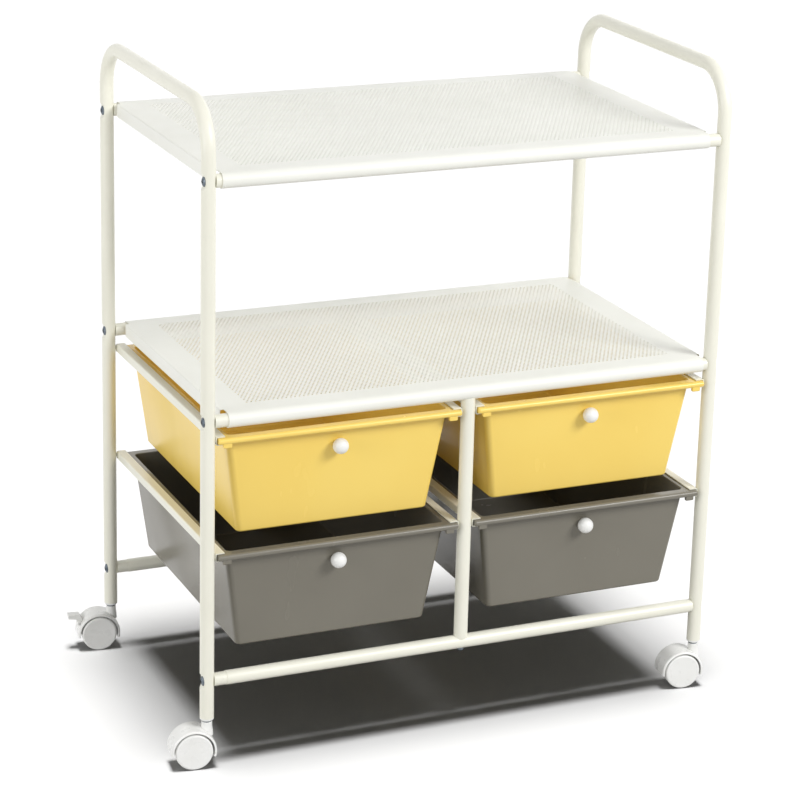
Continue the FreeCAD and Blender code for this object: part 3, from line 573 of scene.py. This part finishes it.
def wheel_shape(place, sign):
    """A wheel that is hollow towards its twin, with a rounded tread and a slightly dished outer face."""
    rim = WHEEL_R - 3.0
    profile = [(AXLE_R, 3.2), (5.5, 3.2), (5.5, 12.0), (rim - 0.4, 12.0), (rim, 11.6), (rim, 3.2)]
    profile += arc(1.4, -90, 0, 3, rim + 1.6, 4.6)
    profile += arc(2.2, 0, 90, 6, rim + 0.8, 12.8)
    profile += [(rim - 0.1, 14.98), (rim - 0.7, 14.8), (12.6, 14.62), (6.0, 14.5), (0.1, 14.45),
                (0.1, 12.6), (AXLE_R, 12.4)]
    return Shape().turn(profile, lambda u, v, h: place(-TRAIL + u, sign * h, WHEEL_R + v), 64)


def lever_shape(place):
    """A pedal and its hook round the pivot, with bevelled sides, on a pin."""
    px, pz = lever_pivot()
    outline = [(-3.2, 0.4), (-3.4, 5.2), (-12.6, 5.6), (-13.6, 6.0), (-14.0, 7.0), (-14.0, 9.2),
               (-13.6, 9.9), (-12.8, 10.1), (-1.0, 10.1), (0.6, 9.5), (2.6, 6.4), (3.2, 4.0), (3.2, 0.0),
               (2.6, -1.9), (3.2, -2.6), (3.1, -4.0), (1.8, -4.5), (0.8, -3.6), (-0.6, -3.1), (-2.4, -2.2)]
    mid_u = sum(u for u, v in outline) / len(outline)
    mid_v = sum(v for u, v in outline) / len(outline)
    rings = []
    for y, inset in ((-6.2, 0.5), (-5.7, 0.0), (5.7, 0.0), (6.2, 0.5)):
        ring = []
        for u, v in outline:
            shrink = inset / math.hypot(u - mid_u, v - mid_v)
            ring.append(place(px + u - shrink * (u - mid_u), y, pz + v - shrink * (v - mid_v)))
        rings.append(ring)
    pin = [(0, -9.5), (1.4, -9.5), (1.6, -9.3), (1.6, 9.3), (1.4, 9.5), (0, 9.5)]
    return Shape().loft(rings).turn(pin, lambda u, v, h: place(px + u, h, pz + v), 20)


for end, back in ENDS.items():
    for hand, side in HANDS.items():
        label = end + "_" + hand
        place = caster_frame(side, back)
        brake = end == "rear"
        piece(label + "_hood", hood_shape(place, brake), label + "_caster", "white_plastic",
              [label + "_caster_hood"])
        for which, sign in ENDS.items():
            node = "%s_%s_wheel" % (label, which)
            piece(node + "_disc", wheel_shape(place, sign), node + "_body", "white_plastic", [node])
        if brake:
            piece(label + "_lever", lever_shape(place), label + "_brake_lever_body", "white_plastic",
                  [label + "_brake_lever"])


# Nodes kept from the solids take the finish of their material slot

slot_of = {part["node"]: part["material_slot"] for part in frame["record"]["subparts"]}
for obj in list(bpy.data.objects):
    if obj.type == "MESH" and obj.name in slot_of:
        obj.data.materials.clear()
        obj.data.materials.append(MATERIALS[slot_of[obj.name]].material)


# Floor and world: pale where they are seen or mirrored, and darker as a source of light

FLOOR_HALF = 40
FLOOR_LIT, FLOOR_SEEN = 0.42, 0.7
WORLD_LIT, WORLD_SEEN = 0.04, 1


def backdrop_colour(tree, lit, seen):
    """A grey with one value for camera, glossy and transmission rays, and another for all others."""
    paths = tree.nodes.new("ShaderNodeLightPath")
    direct = paths.outputs["Is Camera Ray"]
    for kind in ("Is Glossy Ray", "Is Transmission Ray"):
        either = tree.nodes.new("ShaderNodeMath")
        either.operation = "MAXIMUM"
        tree.links.new(direct, either.inputs[0])
        tree.links.new(paths.outputs[kind], either.inputs[1])
        direct = either.outputs[0]
    mix = tree.nodes.new("ShaderNodeMix")
    mix.data_type = "RGBA"
    mix.inputs["A"].default_value = (lit, lit, lit, 1)
    mix.inputs["B"].default_value = (seen, seen, seen, 1)
    tree.links.new(direct, mix.inputs["Factor"])
    return mix.outputs["Result"]


floor_material = bpy.data.materials.new("studio_floor")
floor_material.use_nodes = True
tree = floor_material.node_tree
tree.nodes.remove(tree.nodes["Principled BSDF"])
diffuse = tree.nodes.new("ShaderNodeBsdfDiffuse")
tree.links.new(backdrop_colour(tree, FLOOR_LIT, FLOOR_SEEN), diffuse.inputs["Color"])
tree.links.new(diffuse.outputs["BSDF"], tree.nodes["Material Output"].inputs["Surface"])

floor_mesh = bpy.data.meshes.new("studio_floor")
floor_corners = [(u * FLOOR_HALF, v * FLOOR_HALF, 0) for u, v in ((-1, -1), (1, -1), (1, 1), (-1, 1))]
floor_mesh.from_pydata(floor_corners, [], [(0, 1, 2, 3)])
floor_mesh.materials.append(floor_material)
floor = bpy.data.objects.new("studio_floor", floor_mesh)
bpy.context.scene.collection.objects.link(floor)

world = bpy.data.worlds.new("studio")
bpy.context.scene.world = world
world.use_nodes = True
tree = world.node_tree
tree.links.new(backdrop_colour(tree, WORLD_LIT, WORLD_SEEN), tree.nodes["Background"].inputs["Color"])


# Lamps: one for the floor's shadow alone, and three for the cart alone

def light_group(name, objects, state):
    """A collection for light linking, which includes or excludes its objects."""
    group = bpy.data.collections.new(name)
    for item in objects:
        group.objects.link(item)
    for item in group.collection_objects:
        item.light_linking.link_state = state
    return group


def lamp(data, place, toward, receivers):
    obj = bpy.data.objects.new(data.name, data)
    obj.location = place
    obj.rotation_euler = Vector(toward).to_track_quat("-Z", "Y").to_euler()
    bpy.context.scene.collection.objects.link(obj)
    obj.light_linking.receiver_collection = receivers
    return obj


def sun(name, toward, strength, spread, receivers):
    data = bpy.data.lights.new(name, "SUN")
    data.energy = strength
    data.angle = math.radians(spread)
    return lamp(data, (0, 0, 0), toward, receivers)


def softbox(name, place, target, power, receivers, width=1.4, height=1.2):
    data = bpy.data.lights.new(name, "AREA")
    data.shape = "RECTANGLE"
    data.size = width
    data.size_y = height
    data.energy = power
    return lamp(data, place, Vector(target) - Vector(place), receivers)


floor_only = light_group("floor_only", [floor], "INCLUDE")
off_the_floor = light_group("off_the_floor", [floor], "EXCLUDE")
sun("floor_light", (0.0, 0.03, -1.0), strength=4.7, spread=18, receivers=floor_only)
dome = sun("dome", (0.0, 0.0, -1.0), strength=1.5, spread=170, receivers=off_the_floor)
# The photo shows the upper drawers lit inside, so the middle shelf's punched field lets the dome through
dome.light_linking.blocker_collection = light_group("dome_passes", punched["middle"], "EXCLUDE")
softbox("front_right", (1.8, -2.5, 2.3), (0.0, 0.0, 0.45), power=85, receivers=off_the_floor)
softbox("left_side", (-2.5, -0.6, 0.9), (0.0, 0.0, 0.4), power=24, receivers=off_the_floor)


# Camera, fitted to the photo's straight tubes: focal length and principal row in pixels, eye in millimetres

PICTURE, FOCAL, PRINCIPAL_ROW, SENSOR = 800, 2762.361, 340, 36.0
EYE = (-1258.375, -2825.413, 1395.016)
CAMERA_AXES = (Vector((0.917264, -0.397559, 0.02394)), Vector((0.099417, 0.286757, 0.952831)),
               Vector((-0.385671, -0.871618, 0.302556)))

camera_data = bpy.data.cameras.new("camera")
camera_data.sensor_width = SENSOR
camera_data.lens = FOCAL / PICTURE * SENSOR
camera_data.shift_y = (PRINCIPAL_ROW - PICTURE / 2) / PICTURE
camera = bpy.data.objects.new("camera", camera_data)
where = Vector((np.array(EYE) + CENTRE) / MM)
camera.matrix_world = Matrix.Translation(where) @ Matrix(CAMERA_AXES).transposed().to_4x4()
bpy.context.scene.collection.objects.link(camera)
bpy.context.scene.camera = camera

bpy.context.scene.view_settings.view_transform = "Standard"
